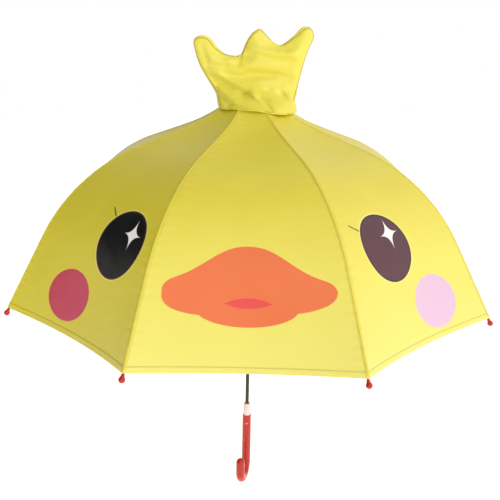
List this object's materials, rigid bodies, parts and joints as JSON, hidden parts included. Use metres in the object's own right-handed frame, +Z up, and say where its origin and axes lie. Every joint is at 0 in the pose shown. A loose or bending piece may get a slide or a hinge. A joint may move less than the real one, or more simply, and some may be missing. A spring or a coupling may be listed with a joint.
{
  "type": "children's umbrella",
  "caption": "Child-size stick umbrella with a dome canopy, a padded three-lobed crest, ball rib tips and a crook handle; slides open and shut.",
  "frame": {"origin": "middle of the straight grip, on the shaft's axis", "axes": "+Z up the shaft to the crest; -Y is the front, where the printed face looks"},
  "size_m": [0.6658, 0.6658, 0.7164],
  "materials": {
    "black_steel": "satin black enamel",
    "red_plastic": "glossy",
    "steel_pin": "plain",
    "pale_plastic": "smooth moulded",
    "black_plastic": "moulded",
    "steel_wire": "drawn wire",
    "spring_steel": "pressed strip",
    "crest_cloth": "padded cloth",
    "canopy_cloth": "tight plain weave, printed",
    "strap_cloth": "folded and stitched",
    "red_snap": "glossy",
    "rib_steel": "black enamel",
    "red_tip": "glossy moulded",
    "stretcher_steel": "black enamel"
  },
  "bodies": {
    "frame": {"shaft": "black_steel", "handle": "red_plastic", "handle_pin": "steel_pin", "collar": "pale_plastic", "crown": "black_plastic", "crown_wire": "steel_wire", "top_cap": "pale_plastic", "crest": "crest_cloth"},
    "runner": {"runner": "black_plastic", "runner_wire": "steel_wire"},
    "top_catch": {"top_catch": "spring_steel"},
    "bottom_catch": {"bottom_catch": "spring_steel"},
    "rib_1": {"rib_1": "rib_steel"},
    "rib_end_1": {"tip_1": "red_tip"},
    "stretcher_1": {"stretcher_1": "stretcher_steel"},
    "panel_upper_1": {"panel_upper_1": "canopy_cloth"},
    "panel_lower_1": {"panel_lower_1": "canopy_cloth"},
    "rib_2": {"rib_2": "rib_steel"},
    "rib_end_2": {"tip_2": "red_tip"},
    "stretcher_2": {"stretcher_2": "stretcher_steel"},
    "panel_upper_2": {"panel_upper_2": "canopy_cloth"},
    "panel_lower_2": {"panel_lower_2": "canopy_cloth"},
    "rib_3": {"rib_3": "rib_steel"},
    "rib_end_3": {"tip_3": "red_tip"},
    "stretcher_3": {"stretcher_3": "stretcher_steel"},
    "panel_upper_3": {"panel_upper_3": "canopy_cloth"},
    "panel_lower_3": {"panel_lower_3": "canopy_cloth"},
    "rib_4": {"rib_4": "rib_steel"},
    "rib_end_4": {"tip_4": "red_tip"},
    "stretcher_4": {"stretcher_4": "stretcher_steel"},
    "panel_upper_4": {"panel_upper_4": "canopy_cloth"},
    "panel_lower_4": {"panel_lower_4": "canopy_cloth"},
    "rib_5": {"rib_5": "rib_steel"},
    "rib_end_5": {"tip_5": "red_tip", "strap": "strap_cloth", "strap_snap": "red_snap"},
    "stretcher_5": {"stretcher_5": "stretcher_steel"},
    "panel_upper_5": {"panel_upper_5": "canopy_cloth"},
    "panel_lower_5": {"panel_lower_5": "canopy_cloth"},
    "rib_6": {"rib_6": "rib_steel"},
    "rib_end_6": {"tip_6": "red_tip"},
    "stretcher_6": {"stretcher_6": "stretcher_steel"},
    "panel_upper_6": {"panel_upper_6": "canopy_cloth"},
    "panel_lower_6": {"panel_lower_6": "canopy_cloth"},
    "rib_7": {"rib_7": "rib_steel"},
    "rib_end_7": {"tip_7": "red_tip"},
    "stretcher_7": {"stretcher_7": "stretcher_steel"},
    "panel_upper_7": {"panel_upper_7": "canopy_cloth"},
    "panel_lower_7": {"panel_lower_7": "canopy_cloth"},
    "rib_8": {"rib_8": "rib_steel"},
    "rib_end_8": {"tip_8": "red_tip"},
    "stretcher_8": {"stretcher_8": "stretcher_steel"},
    "panel_upper_8": {"panel_upper_8": "canopy_cloth"},
    "panel_lower_8": {"panel_lower_8": "canopy_cloth"}
  },
  "joints": [
    {"name": "runner_slide", "type": "slide", "parent": "frame", "child": "runner", "axis": [0, 0, -1], "range_m": [0, 0.2502], "deforming": ["rib_1", "panel_upper_1", "panel_lower_1", "rib_2", "panel_upper_2", "panel_lower_2", "rib_3", "panel_upper_3", "panel_lower_3", "rib_4", "panel_upper_4", "panel_lower_4", "rib_5", "panel_upper_5", "panel_lower_5", "rib_6", "panel_upper_6", "panel_lower_6", "rib_7", "panel_upper_7", "panel_lower_7", "rib_8", "panel_upper_8", "panel_lower_8"]},
    {"name": "top_catch_press", "type": "slide", "parent": "frame", "child": "top_catch", "axis": [-1, 0, 0], "range_m": [0, 0.0018], "stiffness_N_per_m": 400},
    {"name": "bottom_catch_press", "type": "slide", "parent": "frame", "child": "bottom_catch", "axis": [-1, 0, 0], "range_m": [0, 0.0018], "stiffness_N_per_m": 400},
    {"name": "rib_hinge_1", "type": "hinge", "parent": "frame", "child": "rib_1", "pos_m": [0.00344, -0.00831, 0.53561], "axis": [0.9239, 0.3827, 0], "range_deg": [0, 64.56]},
    {"name": "rib_flex_1", "type": "hinge", "parent": "rib_1", "child": "rib_end_1", "pos_m": [0.09328, -0.22519, 0.43591], "axis": [-0.9239, -0.3827, 0], "range_deg": [0, 32.64]},
    {"name": "stretcher_pivot_1", "type": "hinge", "parent": "rib_1", "child": "stretcher_1", "pos_m": [0.07339, -0.17718, 0.46561], "axis": [-0.9239, -0.3827, 0], "range_deg": [0, 129.08]},
    {"name": "panel_fold_1", "type": "hinge", "parent": "frame", "child": "panel_upper_1", "pos_m": [0, 0.02364, 0.54257], "axis": [1, 0, 0], "range_deg": [0, 52.05]},
    {"name": "panel_flex_1", "type": "hinge", "parent": "panel_upper_1", "child": "panel_lower_1", "pos_m": [0, -0.22675, 0.43788], "axis": [-1, 0, 0], "range_deg": [0, 25.62]},
    {"name": "rib_hinge_2", "type": "hinge", "parent": "frame", "child": "rib_2", "pos_m": [0.00831, -0.00344, 0.53561], "axis": [0.3827, 0.9239, 0], "range_deg": [0, 64.56]},
    {"name": "rib_flex_2", "type": "hinge", "parent": "rib_2", "child": "rib_end_2", "pos_m": [0.22519, -0.09328, 0.43591], "axis": [-0.3827, -0.9239, 0], "range_deg": [0, 32.64]},
    {"name": "stretcher_pivot_2", "type": "hinge", "parent": "rib_2", "child": "stretcher_2", "pos_m": [0.17718, -0.07339, 0.46561], "axis": [-0.3827, -0.9239, 0], "range_deg": [0, 129.08]},
    {"name": "panel_fold_2", "type": "hinge", "parent": "frame", "child": "panel_upper_2", "pos_m": [-0.01672, 0.01672, 0.54257], "axis": [0.7071, 0.7071, 0], "range_deg": [0, 52.05]},
    {"name": "panel_flex_2", "type": "hinge", "parent": "panel_upper_2", "child": "panel_lower_2", "pos_m": [0.16034, -0.16034, 0.43788], "axis": [-0.7071, -0.7071, 0], "range_deg": [0, 25.62]},
    {"name": "rib_hinge_3", "type": "hinge", "parent": "frame", "child": "rib_3", "pos_m": [0.00831, 0.00344, 0.53561], "axis": [-0.3827, 0.9239, 0], "range_deg": [0, 64.56]},
    {"name": "rib_flex_3", "type": "hinge", "parent": "rib_3", "child": "rib_end_3", "pos_m": [0.22519, 0.09328, 0.43591], "axis": [0.3827, -0.9239, 0], "range_deg": [0, 32.64]},
    {"name": "stretcher_pivot_3", "type": "hinge", "parent": "rib_3", "child": "stretcher_3", "pos_m": [0.17718, 0.07339, 0.46561], "axis": [0.3827, -0.9239, 0], "range_deg": [0, 129.08]},
    {"name": "panel_fold_3", "type": "hinge", "parent": "frame", "child": "panel_upper_3", "pos_m": [-0.02364, 0, 0.54257], "axis": [0, 1, 0], "range_deg": [0, 52.05]},
    {"name": "panel_flex_3", "type": "hinge", "parent": "panel_upper_3", "child": "panel_lower_3", "pos_m": [0.22675, 0, 0.43788], "axis": [0, -1, 0], "range_deg": [0, 25.62]},
    {"name": "rib_hinge_4", "type": "hinge", "parent": "frame", "child": "rib_4", "pos_m": [0.00344, 0.00831, 0.53561], "axis": [-0.9239, 0.3827, 0], "range_deg": [0, 64.56]},
    {"name": "rib_flex_4", "type": "hinge", "parent": "rib_4", "child": "rib_end_4", "pos_m": [0.09328, 0.22519, 0.43591], "axis": [0.9239, -0.3827, 0], "range_deg": [0, 32.64]},
    {"name": "stretcher_pivot_4", "type": "hinge", "parent": "rib_4", "child": "stretcher_4", "pos_m": [0.07339, 0.17718, 0.46561], "axis": [0.9239, -0.3827, 0], "range_deg": [0, 129.08]},
    {"name": "panel_fold_4", "type": "hinge", "parent": "frame", "child": "panel_upper_4", "pos_m": [-0.01672, -0.01672, 0.54257], "axis": [-0.7071, 0.7071, 0], "range_deg": [0, 52.05]},
    {"name": "panel_flex_4", "type": "hinge", "parent": "panel_upper_4", "child": "panel_lower_4", "pos_m": [0.16034, 0.16034, 0.43788], "axis": [0.7071, -0.7071, 0], "range_deg": [0, 25.62]},
    {"name": "rib_hinge_5", "type": "hinge", "parent": "frame", "child": "rib_5", "pos_m": [-0.00344, 0.00831, 0.53561], "axis": [-0.9239, -0.3827, 0], "range_deg": [0, 64.56]},
    {"name": "rib_flex_5", "type": "hinge", "parent": "rib_5", "child": "rib_end_5", "pos_m": [-0.09328, 0.22519, 0.43591], "axis": [0.9239, 0.3827, 0], "range_deg": [0, 32.64]},
    {"name": "stretcher_pivot_5", "type": "hinge", "parent": "rib_5", "child": "stretcher_5", "pos_m": [-0.07339, 0.17718, 0.46561], "axis": [0.9239, 0.3827, 0], "range_deg": [0, 129.08]},
    {"name": "panel_fold_5", "type": "hinge", "parent": "frame", "child": "panel_upper_5", "pos_m": [0, -0.02364, 0.54257], "axis": [-1, 0, 0], "range_deg": [0, 52.05]},
    {"name": "panel_flex_5", "type": "hinge", "parent": "panel_upper_5", "child": "panel_lower_5", "pos_m": [0, 0.22675, 0.43788], "axis": [1, 0, 0], "range_deg": [0, 25.62]},
    {"name": "rib_hinge_6", "type": "hinge", "parent": "frame", "child": "rib_6", "pos_m": [-0.00831, 0.00344, 0.53561], "axis": [-0.3827, -0.9239, 0], "range_deg": [0, 64.56]},
    {"name": "rib_flex_6", "type": "hinge", "parent": "rib_6", "child": "rib_end_6", "pos_m": [-0.22519, 0.09328, 0.43591], "axis": [0.3827, 0.9239, 0], "range_deg": [0, 32.64]},
    {"name": "stretcher_pivot_6", "type": "hinge", "parent": "rib_6", "child": "stretcher_6", "pos_m": [-0.17718, 0.07339, 0.46561], "axis": [0.3827, 0.9239, 0], "range_deg": [0, 129.08]},
    {"name": "panel_fold_6", "type": "hinge", "parent": "frame", "child": "panel_upper_6", "pos_m": [0.01672, -0.01672, 0.54257], "axis": [-0.7071, -0.7071, 0], "range_deg": [0, 52.05]},
    {"name": "panel_flex_6", "type": "hinge", "parent": "panel_upper_6", "child": "panel_lower_6", "pos_m": [-0.16034, 0.16034, 0.43788], "axis": [0.7071, 0.7071, 0], "range_deg": [0, 25.62]},
    {"name": "rib_hinge_7", "type": "hinge", "parent": "frame", "child": "rib_7", "pos_m": [-0.00831, -0.00344, 0.53561], "axis": [0.3827, -0.9239, 0], "range_deg": [0, 64.56]},
    {"name": "rib_flex_7", "type": "hinge", "parent": "rib_7", "child": "rib_end_7", "pos_m": [-0.22519, -0.09328, 0.43591], "axis": [-0.3827, 0.9239, 0], "range_deg": [0, 32.64]},
    {"name": "stretcher_pivot_7", "type": "hinge", "parent": "rib_7", "child": "stretcher_7", "pos_m": [-0.17718, -0.07339, 0.46561], "axis": [-0.3827, 0.9239, 0], "range_deg": [0, 129.08]},
    {"name": "panel_fold_7", "type": "hinge", "parent": "frame", "child": "panel_upper_7", "pos_m": [0.02364, 0, 0.54257], "axis": [0, -1, 0], "range_deg": [0, 52.05]},
    {"name": "panel_flex_7", "type": "hinge", "parent": "panel_upper_7", "child": "panel_lower_7", "pos_m": [-0.22675, 0, 0.43788], "axis": [0, 1, 0], "range_deg": [0, 25.62]},
    {"name": "rib_hinge_8", "type": "hinge", "parent": "frame", "child": "rib_8", "pos_m": [-0.00344, -0.00831, 0.53561], "axis": [0.9239, -0.3827, 0], "range_deg": [0, 64.56]},
    {"name": "rib_flex_8", "type": "hinge", "parent": "rib_8", "child": "rib_end_8", "pos_m": [-0.09328, -0.22519, 0.43591], "axis": [-0.9239, 0.3827, 0], "range_deg": [0, 32.64]},
    {"name": "stretcher_pivot_8", "type": "hinge", "parent": "rib_8", "child": "stretcher_8", "pos_m": [-0.07339, -0.17718, 0.46561], "axis": [-0.9239, 0.3827, 0], "range_deg": [0, 129.08]},
    {"name": "panel_fold_8", "type": "hinge", "parent": "frame", "child": "panel_upper_8", "pos_m": [0.01672, 0.01672, 0.54257], "axis": [0.7071, -0.7071, 0], "range_deg": [0, 52.05]},
    {"name": "panel_flex_8", "type": "hinge", "parent": "panel_upper_8", "child": "panel_lower_8", "pos_m": [-0.16034, -0.16034, 0.43788], "axis": [-0.7071, 0.7071, 0], "range_deg": [0, 25.62]}
  ],
  "couplings": [
    {"joint": "rib_hinge_1", "follows": "runner_slide", "rad_per_m": 4.5004},
    {"joint": "rib_flex_1", "follows": "runner_slide", "rad_per_m": 2.2736},
    {"joint": "stretcher_pivot_1", "follows": "runner_slide", "rad_per_m": 9.0008},
    {"joint": "panel_fold_1", "follows": "runner_slide", "rad_per_m": 3.6272},
    {"joint": "panel_flex_1", "follows": "runner_slide", "rad_per_m": 1.7834},
    {"joint": "rib_hinge_2", "follows": "runner_slide", "rad_per_m": 4.5004},
    {"joint": "rib_flex_2", "follows": "runner_slide", "rad_per_m": 2.2736},
    {"joint": "stretcher_pivot_2", "follows": "runner_slide", "rad_per_m": 9.0008},
    {"joint": "panel_fold_2", "follows": "runner_slide", "rad_per_m": 3.6272},
    {"joint": "panel_flex_2", "follows": "runner_slide", "rad_per_m": 1.7834},
    {"joint": "rib_hinge_3", "follows": "runner_slide", "rad_per_m": 4.5004},
    {"joint": "rib_flex_3", "follows": "runner_slide", "rad_per_m": 2.2736},
    {"joint": "stretcher_pivot_3", "follows": "runner_slide", "rad_per_m": 9.0008},
    {"joint": "panel_fold_3", "follows": "runner_slide", "rad_per_m": 3.6272},
    {"joint": "panel_flex_3", "follows": "runner_slide", "rad_per_m": 1.7834},
    {"joint": "rib_hinge_4", "follows": "runner_slide", "rad_per_m": 4.5004},
    {"joint": "rib_flex_4", "follows": "runner_slide", "rad_per_m": 2.2736},
    {"joint": "stretcher_pivot_4", "follows": "runner_slide", "rad_per_m": 9.0008},
    {"joint": "panel_fold_4", "follows": "runner_slide", "rad_per_m": 3.6272},
    {"joint": "panel_flex_4", "follows": "runner_slide", "rad_per_m": 1.7834},
    {"joint": "rib_hinge_5", "follows": "runner_slide", "rad_per_m": 4.5004},
    {"joint": "rib_flex_5", "follows": "runner_slide", "rad_per_m": 2.2736},
    {"joint": "stretcher_pivot_5", "follows": "runner_slide", "rad_per_m": 9.0008},
    {"joint": "panel_fold_5", "follows": "runner_slide", "rad_per_m": 3.6272},
    {"joint": "panel_flex_5", "follows": "runner_slide", "rad_per_m": 1.7834},
    {"joint": "rib_hinge_6", "follows": "runner_slide", "rad_per_m": 4.5004},
    {"joint": "rib_flex_6", "follows": "runner_slide", "rad_per_m": 2.2736},
    {"joint": "stretcher_pivot_6", "follows": "runner_slide", "rad_per_m": 9.0008},
    {"joint": "panel_fold_6", "follows": "runner_slide", "rad_per_m": 3.6272},
    {"joint": "panel_flex_6", "follows": "runner_slide", "rad_per_m": 1.7834},
    {"joint": "rib_hinge_7", "follows": "runner_slide", "rad_per_m": 4.5004},
    {"joint": "rib_flex_7", "follows": "runner_slide", "rad_per_m": 2.2736},
    {"joint": "stretcher_pivot_7", "follows": "runner_slide", "rad_per_m": 9.0008},
    {"joint": "panel_fold_7", "follows": "runner_slide", "rad_per_m": 3.6272},
    {"joint": "panel_flex_7", "follows": "runner_slide", "rad_per_m": 1.7834},
    {"joint": "rib_hinge_8", "follows": "runner_slide", "rad_per_m": 4.5004},
    {"joint": "rib_flex_8", "follows": "runner_slide", "rad_per_m": 2.2736},
    {"joint": "stretcher_pivot_8", "follows": "runner_slide", "rad_per_m": 9.0008},
    {"joint": "panel_fold_8", "follows": "runner_slide", "rad_per_m": 3.6272},
    {"joint": "panel_flex_8", "follows": "runner_slide", "rad_per_m": 1.7834}
  ]
}
